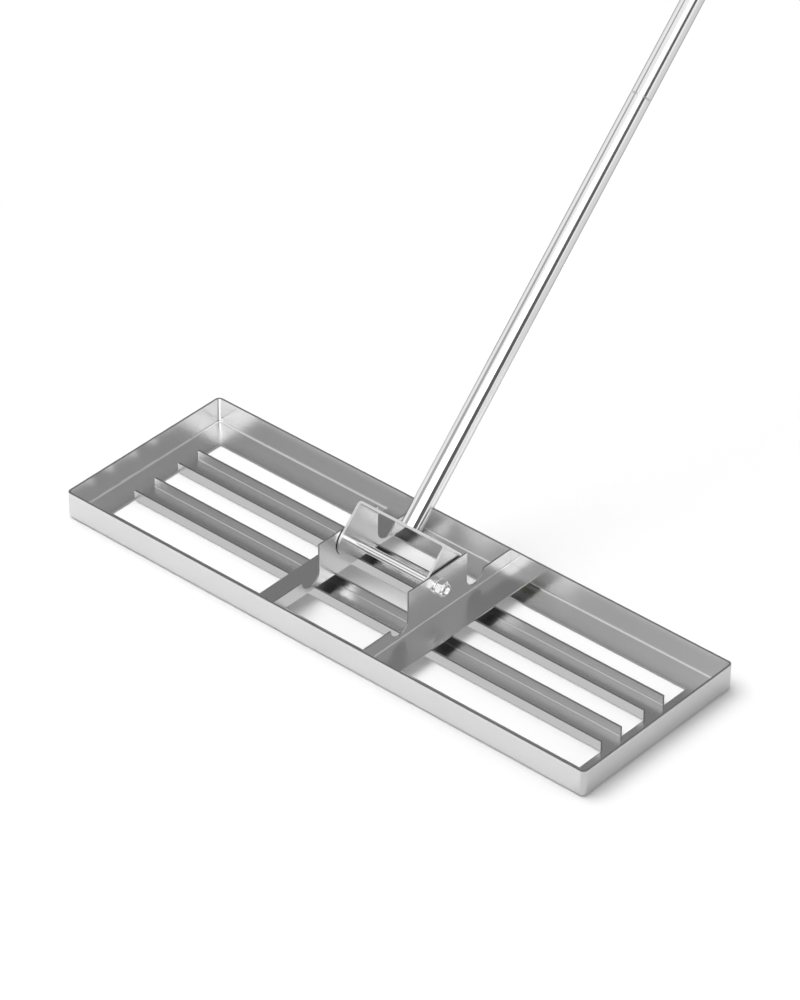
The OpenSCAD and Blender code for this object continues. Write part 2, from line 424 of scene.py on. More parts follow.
@dataclass(frozen=True)
class Thread:
    """A screw thread: radius over it, how far it stands out of its core, and its pitch.

    Half its foot, half its crest and its rounded edge are in pitches, and its root in depths.
    """

    radius: float
    depth: float
    pitch: float
    half_foot: float = 0.47
    half_crest: float = 0.08
    root: float = 1.15
    edge: float = 0.02
    steps: int = 32

    def wind(self, blank: Object, low: float, high: float) -> None:
        """Wind the thread's ridge round a blank that stands on the Z axis, and join the two.

        Args:
            blank: The piece that gets the thread.
            low: Height of its start.
            high: Height that it stays under.
        """
        foot, crest = self.half_foot * self.pitch, self.half_crest * self.pitch
        top, root = self.radius, self.radius - self.root * self.depth
        rise = ((root, 0), (top, foot - crest), (top, foot + crest), (root, 2 * foot))
        ridge = draw_profile([(radius, low + height) for radius, height in rise])
        turns = {"iterations": int((high - low - self.pitch) / self.pitch), "steps": self.steps}
        use_modifier(ridge, "SCREW", screw_offset=self.pitch, render_steps=self.steps, **turns)
        with at_work(ridge, On.EDGE):
            bpy.ops.mesh.fill_holes(sides=0)
            clean()
        round_off(ridge, self.edge * self.pitch, segments=1)
        join(blank, ridge)


# Materials


def linear(hex_colour: str) -> tuple[float, float, float, float]:
    """Turn an sRGB hex colour into the linear values that a shader takes.

    Args:
        hex_colour: Colour such as "#c8c8c6".

    Returns:
        Red, green, blue and alpha, linear.
    """
    channels = []
    for place in (1, 3, 5):
        value = int(hex_colour[place : place + 2], 16) / 255
        channels.append(value / 12.92 if value <= 0.04045 else ((value + 0.055) / 1.055) ** 2.4)
    return (*channels, 1.0)


@dataclass
class Nodes:
    """The nodes of a new material or world, and the place in metres that patterns are read at."""

    owner: Material | World
    place: NodeSocket | None = None

    def __post_init__(self) -> None:
        """Empty the owner's tree."""
        self.owner.use_nodes = True
        self.owner.node_tree.nodes.clear()

    def add(self, kind: str, out: int | str = 0, **values: object) -> NodeSocket | None:
        """Add one node with its settings, input values and links.

        Args:
            kind: Blender's name of the node type, without "ShaderNode".
            out: The output that is wanted.
            values: A small first letter means a setting of the node. Anything else is an input
                socket, its spaces written as underscores, or its place after one underscore. An
                output socket is linked to it, and any other value is its own.

        Returns:
            The wanted output, if the node has outputs.
        """
        tree = self.owner.node_tree
        node = tree.nodes.new("ShaderNode" + kind)
        for name, value in values.items():
            if name[0].islower():
                setattr(node, name, value)
                continue
            socket = node.inputs[int(name[1:]) if name[0] == "_" else name.replace("_", " ")]
            if isinstance(value, NodeSocket):
                tree.links.new(value, socket)
            else:
                socket.default_value = value
        return node.outputs[out] if node.outputs else None

    def stretch(self, value: NodeSocket, low: float, high: float) -> NodeSocket:
        """Stretch a value's usual range, from low to high, so that it runs from 0 to 1."""
        return self.add("MapRange", Value=value, From_Min=low, From_Max=high)

    def lines(self, scale: Point | NodeSocket, **settings: float) -> NodeSocket:
        """Give noise drawn out along the axes whose scale is small, from 0 to 1."""
        drawn = self.add("Mapping", Vector=self.place, Scale=scale)
        return self.stretch(self.add("TexNoise", Vector=drawn, Scale=1.0, **settings), low=0.3, high=0.7)

    def seen(self, factor: float = 1.0) -> NodeSocket:
        """Tell what the camera sees, straight, mirrored or through glass, from light.

        Args:
            factor: What a seen ray gives.

        Returns:
            The factor for a seen ray, and 0 for light that reaches matt paper by way of metal.
        """
        path = self.add("LightPath").node.outputs
        seen = path["Is Camera Ray"]
        for name in ("Is Glossy Ray", "Is Transmission Ray"):
            seen = self.add("Math", operation="MAXIMUM", _0=seen, _1=path[name])
        unscattered = self.add("Math", operation="LESS_THAN", _0=path["Diffuse Depth"], _1=0.5)
        whole = self.add("Math", operation="MULTIPLY", _0=unscattered, _1=factor)
        return self.add("Math", operation="MULTIPLY", _0=seen, _1=whole)


@dataclass(frozen=True)
class Finish:
    """A surface finish: two colours, a range of roughness and a fine relief from one pattern.

    A pattern too fine to show in the picture is drawn coarser, as its own finish says.
    """

    name: str
    colour: str
    second_colour: str
    metallic: float
    roughness: tuple[float, float]
    relief: float
    lay: Matrix = IN_PLACE

    def pattern(self, nodes: Nodes) -> NodeSocket:
        """Give the finish's fine pattern, from 0 to 1."""
        raise NotImplementedError

    def patches(self, nodes: Nodes) -> NodeSocket:
        """Give the slow change of tone over a hand's breadth, from 0 to 1."""
        clouds = nodes.add("TexNoise", Vector=nodes.place, Scale=14.0, Detail=3.0)
        return nodes.stretch(clouds, low=0.35, high=0.65)

    def extra(self, nodes: Nodes) -> dict[str, object]:
        """Give further values for the shader's own sockets."""
        return {}

    def make(self) -> Material:
        """Build the material.

        Returns:
            The finished material.
        """
        nodes = Nodes(bpy.data.materials.new(self.name))
        spot = nodes.add("TexCoord", "Object")
        lay = {"Location": self.lay.translation, "Rotation": self.lay.to_euler()}
        nodes.place = nodes.add("Mapping", vector_type="TEXTURE", Vector=spot, **lay)
        pattern, patches = self.pattern(nodes), self.patches(nodes)
        blend = nodes.add("Math", operation="MULTIPLY", _0=pattern, _1=patches)
        colours = {"_6": linear(self.colour), "_7": linear(self.second_colour)}
        worn = nodes.add("Math", operation="MULTIPLY", _0=patches, _1=0.5)
        both = nodes.add("Math", operation="MULTIPLY_ADD", _0=pattern, _1=0.5, _2=worn)
        low, high = self.roughness
        values = {
            "Base_Color": nodes.add("Mix", 2, data_type="RGBA", Factor=blend, **colours),
            "Metallic": self.metallic,
            "Roughness": nodes.add("MapRange", Value=both, To_Min=low, To_Max=high),
            "Normal": nodes.add("Bump", Height=pattern, Strength=0.5, Distance=self.relief),
        }
        values.update(self.extra(nodes))
        nodes.add("OutputMaterial", Surface=nodes.add("BsdfPrincipled", **values))
        return nodes.owner


@dataclass(frozen=True)
class SatinSheet(Finish):
    """Stainless steel 304 sheet, rolled and satin polished.

    It gives soft, clean reflections with hardly any grain: the polishing lines are a tenth of
    a millimetre apart and are drawn at half a millimetre, because finer ones don't show.
    """

    grain: Point = (60.0, 2000.0, 2000.0)
    end_grain: Point = (2000.0, 2000.0, 60.0)
    end_facing: float = 0.7

    def pattern(self, nodes: Nodes) -> NodeSocket:
        """Give the polishing lines along the grain, which stand upright on folded-up ends.

        Args:
            nodes: The material's nodes.

        Returns:
            The pattern.
        """
        endwise = nodes.add("SeparateXYZ", Vector=nodes.add("NewGeometry", "True Normal"))
        endwise = nodes.add("Math", operation="ABSOLUTE", _0=endwise)
        on_end = nodes.add("Math", operation="GREATER_THAN", _0=endwise, _1=self.end_facing)
        grains = {"_4": self.grain, "_5": self.end_grain}
        scale = nodes.add("Mix", 1, data_type="VECTOR", Factor=on_end, **grains)
        return nodes.lines(scale, Detail=3.0, Roughness=0.55)


@dataclass(frozen=True)
class CutEdge(Finish):
    """The edge of stainless sheet, cut by laser or ground after shearing.

    It gives a thin line of its own tone round each sheet part. The cut's fine ridges are
    0.2 mm apart and are drawn at 0.5 mm.
    """

    def pattern(self, nodes: Nodes) -> NodeSocket:
        """Give the fine ridges across the edge."""
        return nodes.add("TexNoise", Vector=nodes.place, Scale=2000.0, Detail=2.0)


@dataclass(frozen=True)
class PolishedTube(Finish):
    """Stainless steel 201 tube, drawn and belt polished.

    It gives bright, long and sharp-edged stripes, with faint rings from the polishing belt, and
    a thin grey line along both sides, where steel reflects less just before grazing. The rings
    are 0.05 mm apart and are drawn at 0.4 mm.
    """

    rings: Point = (60.0, 60.0, 2500.0)
    side_tint: str = "#a8a8a8"

    def pattern(self, nodes: Nodes) -> NodeSocket:
        """Give the belt's rings along the tube."""
        return nodes.lines(self.rings, Detail=2.0)

    def extra(self, nodes: Nodes) -> dict[str, object]:
        """Give the reflection's own tone near grazing."""
        return {"Specular_Tint": linear(self.side_tint)}


@dataclass(frozen=True)
class TurnedMetal(Finish):
    """A metal turned on a lathe or zinc plated after it.

    It gives fine rings round the axis that break up the highlights. The tool marks are 0.1 mm
    apart and are drawn at 0.3 mm, over a mottle of 1.4 mm.
    """

    ring_scale: float = 3300.0
    mottle_scale: float = 700.0

    def pattern(self, nodes: Nodes) -> NodeSocket:
        """Give rings by distance from the axis and along it, with a fine mottle.

        Args:
            nodes: The material's nodes.

        Returns:
            The pattern.
        """
        parts = nodes.add("SeparateXYZ", Vector=nodes.place).node.outputs
        across = nodes.add("CombineXYZ", X=parts[0], Y=parts[1])
        radius = nodes.add("VectorMath", "Value", operation="LENGTH", _0=across)
        travel = nodes.add("Math", operation="ADD", _0=radius, _1=parts[2])
        fine = {"Scale": self.ring_scale, "Detail": 1.0}
        rings = nodes.add("TexNoise", noise_dimensions="1D", W=travel, **fine)
        mottle = nodes.add("TexNoise", Vector=nodes.place, Scale=self.mottle_scale, Detail=2.0)
        both = nodes.add("Math", operation="ADD", _0=rings, _1=mottle)
        return nodes.stretch(both, low=0.7, high=1.3)


@dataclass(frozen=True)
class WeldBead(Finish):
    """Stainless weld metal, left as it cooled.

    It gives a dull grey bead with straw and blue heat tints, which change over some 6 mm. The
    skin's pits are 0.2 mm wide and are drawn at 0.7 mm.
    """

    blue_tint: str = "#6f7d95"

    def pattern(self, nodes: Nodes) -> NodeSocket:
        """Give the pitted skin of the cooled bead."""
        return nodes.add("TexNoise", Vector=nodes.place, Scale=1500.0, Detail=4.0)

    def extra(self, nodes: Nodes) -> dict[str, object]:
        """Give the heat tints.

        Args:
            nodes: The material's nodes.

        Returns:
            The tints, for the shader's base colour.
        """
        drift = nodes.add("TexNoise", Vector=nodes.place, Scale=160.0, Detail=2.0)
        tints = nodes.add("ValToRGB", Fac=drift)
        ramp = tints.node.color_ramp
        ramp.elements[0].position, ramp.elements[0].color = 0.35, linear(self.colour)
        ramp.elements[1].position, ramp.elements[1].color = 0.68, linear(self.blue_tint)
        ramp.elements.new(0.55).color = linear(self.second_colour)
        return {"Base_Color": tints}


@dataclass(frozen=True)
class MouldedSkin(Finish):
    """A moulded plastic or rubber with the spark-eroded texture of its mould.

    It gives a fine even grain that scatters the highlights. The grain is about 0.15 mm and is
    drawn at 0.4 mm.
    """

    ior: float = 1.5

    def pattern(self, nodes: Nodes) -> NodeSocket:
        """Give the mould's grain."""
        cells = nodes.add("TexVoronoi", feature="SMOOTH_F1", Vector=nodes.place, Scale=2500.0)
        return nodes.stretch(cells, low=0.1, high=0.8)

    def extra(self, nodes: Nodes) -> dict[str, object]:
        """Give the material's own refraction."""
        return {"IOR": self.ior}


@dataclass(frozen=True)
class StudioPaper:
    """Matt background paper, which turns to an even white away from the rake.

    It gives a pale ground that keeps the rake's soft shadow near it and has no edge or falloff
    further off. Its fibres are finer than a millimetre and are drawn at 2.5 mm.
    """

    colour: str = "#fcfcfc"
    shadow_reach: tuple[float, float] = (0.55, 0.95)

    def make(self) -> Material:
        """Build the material.

        Returns:
            The finished material.
        """
        nodes = Nodes(bpy.data.materials.new("studio_paper"))
        place = nodes.add("TexCoord", "Object")
        distance = nodes.add("VectorMath", "Value", operation="LENGTH", _0=place)
        far = nodes.stretch(distance, *self.shadow_reach)
        far.node.interpolation_type = "SMOOTHSTEP"
        fibre = nodes.add("TexNoise", Vector=place, Scale=400.0, Detail=2.0)
        rough = nodes.add("MapRange", Value=fibre, To_Min=0.0, To_Max=0.2)
        both = {
            "_0": nodes.add("Math", operation="MULTIPLY", _0=nodes.seen(), _1=far),
            "_1": nodes.add("BsdfDiffuse", Color=linear(self.colour), Roughness=rough),
            "_2": nodes.add("Emission", Color=WHITE, Strength=1.0),
        }
        nodes.add("OutputMaterial", Surface=nodes.add("MixShader", **both))
        return nodes.owner


def make_finishes() -> dict[Slot, Material]:
    """Make the finish of each material slot.

    Returns:
        The material of each slot.
    """
    satin = ("#dadada", "#d6d6d6", 1.0, (0.225, 0.245), 0.0000003)
    across = (2000.0, 60.0, 2000.0)
    finishes = {
        Slot.PAN: SatinSheet("satin_stainless_pan", *satin),
        Slot.RAIL: SatinSheet("satin_stainless_rails", *satin, grain=across, end_grain=across),
        Slot.BRACKET: SatinSheet("satin_stainless_bracket", *satin, ALONG_HANDLE),
        Slot.TUBE: PolishedTube(
            "polished_stainless_tube", "#ececec", "#e6e6e6", 1.0, (0.07, 0.11), 0.000001, ALONG_HANDLE
        ),
        Slot.WELD: WeldBead("stainless_weld_bead", "#8f8d88", "#a98f63", 1.0, (0.35, 0.6), 0.0001),
        Slot.HARDWARE: TurnedMetal(
            "bright_zinc_plated_steel", "#f2f2f2", "#e0e0de", 1.0, (0.06, 0.1), 0.0000003, ALONG_BOLT
        ),
        Slot.INSERT: TurnedMetal(
            "turned_aluminium", "#d4d5d7", "#c3c4c6", 1.0, (0.2, 0.38), 0.00001, ALONG_HANDLE
        ),
        Slot.NYLON: MouldedSkin(
            "natural_nylon", "#c4c0b4", "#aeaa9d", 0.0, (0.35, 0.5), 0.00001, ior=1.53
        ),
        Slot.GRIP: MouldedSkin(
            "moulded_black_rubber", "#1d1d1d", "#2b2a29", 0.0, (0.6, 0.85), 0.00004, ior=1.52
        ),
        Slot.CAP: MouldedSkin(
            "moulded_black_polypropylene", "#18191a", "#242526", 0.0, (0.4, 0.55), 0.00002, ior=1.49
        ),
    }
    return {slot: finish.make() for slot, finish in finishes.items()}


def make_edge_finishes() -> dict[Slot, Material]:
    """Make the finish of the sheet parts' cut edges.

    Returns:
        The material of each sheet part's edges.
    """
    laser = CutEdge("laser_cut_stainless_edge", "#b0b0b0", "#9c9c9c", 1.0, (0.3, 0.42), 0.000004)
    laser_cut = laser.make()
    tones, roughness = ("#ececec", "#e0e0e0"), (0.34, 0.4)
    ground = CutEdge("ground_stainless_edge", *tones, 1.0, roughness, 0.000001, ALONG_HANDLE)
    return {Slot.PAN: laser_cut, Slot.RAIL: laser_cut, Slot.BRACKET: ground.make()}


# The rake's sub-assemblies


@dataclass
class SubAssembly:
    """A group of pieces that ride on one body and take their finishes from the record's slots."""

    finishes: dict[Slot, Material]
    edges: dict[Slot, Material]
    body: Body = Body.HEAD
    place: Matrix = IN_PLACE

    def dress_sheet(self, piece: Object, slot: Slot) -> None:
        """Give a sheet part the finish of its faces, and then that of its cut edges."""
        for finishes in (self.finishes, self.edges):
            piece.data.materials.append(finishes[slot])

    def hand_over(
        self, piece: Object, name: str, slot: Slot, node: str, edge: float = 0.0, segments: int = 2
    ) -> None:
        """Round a piece's edges, set it down, dress it, hang it on its body, hide the CAD node that it
        stands for, and log it.

        Args:
            piece: The piece.
            name: Its name.
            slot: The record's slot of its finish.
            node: The CAD node that it stands for.
            edge: How far the rounding reaches, or 0 if its edges are done already.
            segments: How many faces the rounding takes.
        """
        piece.name = piece.data.name = name
        if edge:
            round_off(piece, edge, segments)
        set_down(piece, self.place)
        if not piece.data.materials:
            piece.data.materials.append(self.finishes[slot])
        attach(piece, self.body.value)
        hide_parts(node)
        LOG.info("%s: %d faces, %s, %s", name, len(piece.data.polygons), self.body.value, slot.value)


@dataclass
class GradingPan(SubAssembly):
    """The folded pan: four walls, three slots and two bars whose long edges are turned up."""

    length: float = 0.762
    depth: float = 0.254
    height: float = 0.035
    sheet: float = 0.0025
    fold: float = 0.005
    corner: float = 0.006
    slot_width: float = 0.0365
    bar_width: float = 0.036
    end_margin: float = 0.0355
    lip_height: float = 0.0145
    lip_fold: float = 0.0035
    relief: float = 0.001
    relief_depth: float = 0.0038
    edge: float = 0.0003

    def build(self) -> None:
        """Fold the pan from its outer skin, then give the sheet its thickness."""
        x, y = self.length / 2, self.depth / 2
        pan = lay_sheet((-x, -y, 0), (x, y, 0), faces_down=True)
        self.dress_sheet(pan, Slot.PAN)
        with at_work(pan):
            self.raise_walls()
            self.open_slots()
            self.turn_up_lips()
            clean(closed=False)
        thicken(pan, self.sheet)
        self.hand_over(pan, "folded_pan", Slot.PAN, "grading_pan", self.edge)

    def raise_walls(self) -> None:
        """Pull the four walls up, then round their upright corners and the fold round the floor."""
        pick(On.EDGE, lambda at, along: True)
        pull((0, 0, self.height))
        bend(lambda at, along: abs(along.z) > ALONG, self.corner, segments=8)
        bend(lambda at, along: at.z < SAME, self.fold, segments=6)

    def bars(self) -> list[tuple[float, float]]:
        """Give the front and back edge of each bar."""
        pitch, half = (self.slot_width + self.bar_width) / 2, self.bar_width / 2
        return [(side * pitch - half, side * pitch + half) for side in (-1, 1)]

    def open_slots(self) -> None:
        """Score the floor along the slots and the lips' reliefs, then take these out."""
        end = self.length / 2 - self.end_margin
        far = 1.5 * self.slot_width + self.bar_width
        ends = [side * (end - inset) for side in (-1, 1) for inset in (0, self.relief)]
        sides = [-far, far]
        for front, back in self.bars():
            sides += [front, back, front + self.relief_depth, back - self.relief_depth]
        for axis, values in (((1, 0, 0), ends), ((0, 1, 0), sides)):
            for value in values:
                pick(On.FACE, on_ground)
                bpy.ops.mesh.bisect(plane_co=[value * part for part in axis], plane_no=axis)

        def in_slot(at: Vector, normal: Vector) -> bool:
            """Tell whether a face of the floor lies in a slot or in a relief.

            Args:
                at: The face's middle.
                normal: Its normal.

            Returns:
                Whether it is taken out.
            """
            if not on_ground(at, normal) or abs(at.x) > end or abs(at.y) > far:
                return False
            depth = self.relief_depth if abs(at.x) > end - self.relief else 0.0
            return not any(f + depth < at.y < b - depth for f, b in self.bars())

        pick(On.FACE, in_slot)
        bpy.ops.mesh.delete(type="FACE")

    def turn_up_lips(self) -> None:
        """Pull up the bars' long edges and round their folds."""
        end = self.length / 2 - self.end_margin - self.relief
        edges = [line for bar in self.bars() for line in bar]

        def on_fold(at: Vector, along: Vector) -> bool:
            """Tell whether an edge is a bar's long edge on the ground."""
            near = min(abs(at.y - line) for line in edges) < SAME
            return near and abs(along.x) > ALONG and abs(at.x) < end and at.z < SAME

        pick(On.EDGE, on_fold)
        pull((0, 0, self.lip_height))
        bend(on_fold, self.lip_fold, segments=5)


@dataclass
class SaddleRails(SubAssembly):
    """The two angle rails that lie across the bars and raise the ears, with their welds.

    The beads' tails and valleys are in parts of a bead's radius, and a valley's place in ripples.
    """

    inner_face: float = 0.06475
    foot_width: float = 0.04
    foot_height: float = 0.0145
    sheet: float = 0.002
    fold: float = 0.0035
    half_depth: float = 0.1245
    wall_height: float = 0.035
    ear_width: float = 0.098
    ear_top: float = 0.072
    scoop: float = 0.0145
    web: float = 0.005
    hole: float = 0.00505
    bead: float = 0.002
    bead_tail: float = 0.7
    valley: float = 0.84
    ripple: float = 0.0018
    valley_at: float = 0.45
    bead_end: float = 0.0002
    bead_smooth: float = math.radians(50)
    edge: float = 0.00025

    def build(self) -> None:
        """Fold and cut the right rail, mirror it for the left one, and lay the beads."""
        right = self.fold_rail()
        for rail, side in ((mirrored(right, (-1, 1, 1)), "left"), (right, "right")):
            names = (side + "_saddle_angle", Slot.RAIL, side + "_saddle_rail")
            self.hand_over(rail, *names, self.edge)
        self.hand_over(self.lay_beads(), "rippled_weld_beads", Slot.WELD, "rail_welds")

    def fold_rail(self) -> Object:
        """Fold the right rail's angle and cut its web to the ear's outline.

        Returns:
            The right rail, its edges still sharp.
        """
        x, y, z = self.inner_face, self.half_depth, self.foot_height
        rail = lay_sheet((x, -y, z), (x + self.foot_width, y, z), faces_down=True)
        self.dress_sheet(rail, Slot.RAIL)
        with at_work(rail):
            pick(On.EDGE, lambda at, along: abs(at.x - x) < SAME)
            pull((0, 0, self.ear_top - z))
            bend(lambda at, along: abs(at.x - x) < SAME and at.z < z + SAME, self.fold, segments=5)
        thicken(rail, self.sheet)
        front, back = x - OVER, x + self.sheet + OVER
        for side in (-1, 1):
            self.cut_side(rail, side, front, back)
        cut(rail, add_rod(self.hole, (front, 0, PIVOT_HEIGHT), (back, 0, PIVOT_HEIGHT)))
        return rail

    def cut_side(self, rail: Object, side: int, front: float, back: float) -> None:
        """Cut the scoop on one side of the ear, and the web down to the wall's height beyond it.

        Args:
            rail: The rail.
            side: 1 for the back, -1 for the front.
            front: Where the cutters start, along the pan.
            back: Where they end.
        """
        y = side * (self.ear_width / 2 + self.scoop)
        z = self.foot_height + self.sheet + self.web + self.scoop
        scoop = add_rod(self.scoop, (front, y, z), (back, y, z))
        with at_work(scoop):
            pick(On.VERT, lambda at, normal: at.z > z - SAME)
            bpy.ops.transform.translate(value=(0, 0, self.ear_top))
        cut(rail, scoop)
        near, far = sorted((y, side * (self.half_depth + OVER)))
        cut(rail, add_block((front, near, self.wall_height), (back, far, self.ear_top + OVER)))

    def lay_beads(self) -> Object:
        """Lay the four rippled weld beads under the feet, along the pan's walls.

        Returns:
            The beads as one piece.
        """
        y, z, tail = self.half_depth, self.foot_height, self.bead_tail * self.bead
        low, high = self.inner_face + self.fold, self.inner_face + self.foot_width
        stations: list[Station] = [(0, low), (tail, low + self.bead_end)]
        middle = low + self.ripple / 2
        while middle < high - self.ripple:
            stations.append((self.bead, middle))
            stations.append((self.valley * self.bead, middle + self.valley_at * self.ripple))
            middle += self.ripple
        bead = turn([*stations, (tail, high - self.bead_end), (0, high)], sides=24)
        set_down(bead, Matrix.Translation((0, y, z)) @ LYING)
        for at, away in (((0, y, 0), (0, 1, 0)), ((0, 0, z), (0, 0, 1))):
            with at_work(bead):
                bpy.ops.mesh.bisect(plane_co=at, plane_no=away, use_fill=True, clear_outer=True)
        join(bead, *[mirrored(bead, across) for across in ((-1, 1, 1), (1, -1, 1), (-1, -1, 1))])
        bpy.ops.object.shade_smooth_by_angle(angle=self.bead_smooth)
        return bead


@dataclass
class PivotSet(SubAssembly):
    """The hexagon bolt through ears and cheeks, its washers and its lock nut.

    A face's radius is in parts of that of the flats, and the dish's radii in parts of the face's.
    """

    place: Matrix = ALONG_BOLT
    ear_outside: float = 0.06675
    shank: float = 0.005
    thread_start: float = 0.0615
    thread_play: float = 0.00002
    runout: float = 0.0003
    pitch: float = 0.0015
    thread_depth: float = 0.0006
    flats: float = 0.017
    face: float = 0.95
    corner_stock: float = 0.0004
    corner_angle: float = math.radians(30)
    head: float = 0.0064
    dish: float = 0.0003
    dish_floor: float = 0.6
    dish_rim: float = 0.68
    nut: float = 0.008
    collar: float = 0.002
    collar_wall: float = 0.001
    collar_roll: float = 0.0005
    collar_corner: float = 0.0008
    collar_round: tuple[float, float] = (0.0003, 0.0002)
    washer: float = 0.01
    washer_thickness: float = 0.002
    play: float = 0.00005
    cheek_gap: tuple[float, float] = (0.0638, 0.0647)
    bolt_end: float = 0.08025
    tip: float = 0.001
    ring: float = 0.00685
    ring_seat: float = 0.001
    ring_cover: float = 0.0006
    ring_edge: float = 0.0003
    edge: float = 0.0002
    hexagon_edge: float = 0.00015
    washer_edge: float = 0.0005

    def build(self) -> None:
        """Make the bolt, its lock nut and its washers."""
        self.make_bolt()
        self.make_nut()
        near, far = self.ear_outside, self.ear_outside + self.washer_thickness
        for name, low, high, node in (
            ("head_washer", -far, -near, "bolt_head_washer"),
            ("nut_side_washer", near, far, "nut_washer"),
        ):
            washer = self.flat_ring(self.washer, low, high)
            self.hand_over(washer, name, Slot.HARDWARE, node, self.washer_edge, segments=3)
        near, far = self.cheek_gap
        left, right = self.flat_ring(self.washer, -far, -near), self.flat_ring(self.washer, near, far)
        join(left, right)
        self.hand_over(left, "thin_nylon_washers", Slot.NYLON, "friction_washers", self.edge)

    def flat_ring(self, outer: float, low: float, high: float) -> Object:
        """Turn a flat ring that fits on the bolt, from its outer radius and its faces' heights."""
        inner = self.shank + self.play
        return turn([(inner, low), (outer, low), (outer, high), (inner, high)])

    def corner(self) -> float:
        """Give a hexagon's radius over its corners."""
        return self.flats / 2 / math.cos(math.pi / 6)

    def mill_flats(self, piece: Object, low: float, high: float) -> None:
        """Mill six flats on a turned blank that reaches from low to high."""
        hexagon = add_rod(self.corner(), (0, 0, low - OVER), (0, 0, high + OVER), sides=6)
        cut(piece, hexagon, Cut.COMMON)

    def chamfer(self) -> tuple[float, float, float]:
        """Give a hexagon's turned corner: its face's radius, and the blank's radius and drop."""
        face, blank = self.face * self.flats / 2, self.corner() + self.corner_stock
        return face, blank, (blank - face) * math.tan(self.corner_angle)

    def make_bolt(self) -> None:
        """Turn the bolt's blank, mill its head, and wind its thread."""
        face, blank, drop = self.chamfer()
        under = -(self.ear_outside + self.washer_thickness)
        shank, top, start_at, end = self.shank, under - self.head, self.thread_start, self.bolt_end
        core = shank - self.thread_depth
        dish, dish_floor, dish_rim = top + self.dish, self.dish_floor * face, self.dish_rim * face
        stations = [(0, dish), (dish_floor, dish), (dish_rim, top)]
        stations += [(face, top), (blank, top + drop), (blank, under), (shank, under)]
        stations += [(shank, start_at), (core, start_at + self.thread_depth)]
        stations += [(core, end - self.tip + self.thread_depth), (shank - self.tip, end), (0, end)]
        bolt = turn(stations)
        self.mill_flats(bolt, top, end)
        round_off(bolt, self.hexagon_edge)
        thread = Thread(shank - self.thread_play, self.thread_depth, self.pitch)
        thread.wind(bolt, start_at + self.runout, end + self.runout)
        self.hand_over(bolt, "hexagon_bolt", Slot.HARDWARE, "pivot_bolt")

    def make_nut(self) -> None:
        """Turn and mill the lock nut, its collar rolled over the nylon ring, and turn the ring."""
        face, blank, drop = self.chamfer()
        base = self.ear_outside + self.washer_thickness
        shoulder = base + self.nut
        front, back = shoulder + self.collar, shoulder - self.ring_seat
        bore, seat, lip = self.shank + self.play, self.ring + self.play, self.ring - self.ring_cover
        outer, roll, corner = seat + self.collar_wall, front - self.collar_roll, self.collar_corner
        inset, below = self.collar_round
        stations = [(bore, base), (face, base), (blank, base + drop), (blank, shoulder - drop)]
        stations += [(face, shoulder), (outer, shoulder), (outer, front - corner)]
        stations += [(outer - inset, front - below), (outer - corner, front)]
        stations += [(lip, front), (lip, roll), (seat, roll), (seat, back), (bore, back)]
        nut = turn(stations)
        self.mill_flats(nut, base, front)
        self.hand_over(nut, "collared_lock_nut", Slot.HARDWARE, "lock_nut", self.hexagon_edge)
        ring = self.flat_ring(self.ring, back, roll)
        names = ("nylon_lock_ring", Slot.NYLON, "lock_nut_ring")
        self.hand_over(ring, *names, self.ring_edge, segments=3)


@dataclass
class StuddedPart(SubAssembly):
    """A part of the handle that ends in a threaded stud, which the next part screws on.

    The thread's depth is in pitches.
    """

    body: Body = Body.HANDLE
    place: Matrix = ALONG_HANDLE
    stud: float = 0.008
    stud_pitch: float = 0.002
    stud_depth: float = 0.6
    neck: float = 0.0008
    neck_foot: float = 0.0002
    stud_play: float = 0.00005
    stud_edge: float = 0.00025

    def turn_stud(self, base: Sequence[Station], seat: float, end: float) -> Object:
        """Turn a piece that ends in a threaded stud.

        Args:
            base: The turned profile up to the stud, from the axis.
            seat: Height of the face that the stud stands on.
            end: Height of the stud's end.

        Returns:
            The piece, upright.
        """
        depth = self.stud_depth * self.stud_pitch
        core, low, high = self.stud - depth, seat + self.neck, end - self.neck
        foot = core if base[-1][0] > self.stud + SAME else self.stud
        stations = [*base, (foot, seat + self.neck_foot), (core, low), (core, high)]
        piece = turn([*stations, (core - self.neck, end), (0, end)])
        round_off(piece, self.stud_edge)
        thread = Thread(self.stud - self.stud_play, depth, self.stud_pitch)
        thread.wind(piece, low, end - self.neck / 2)
        return piece


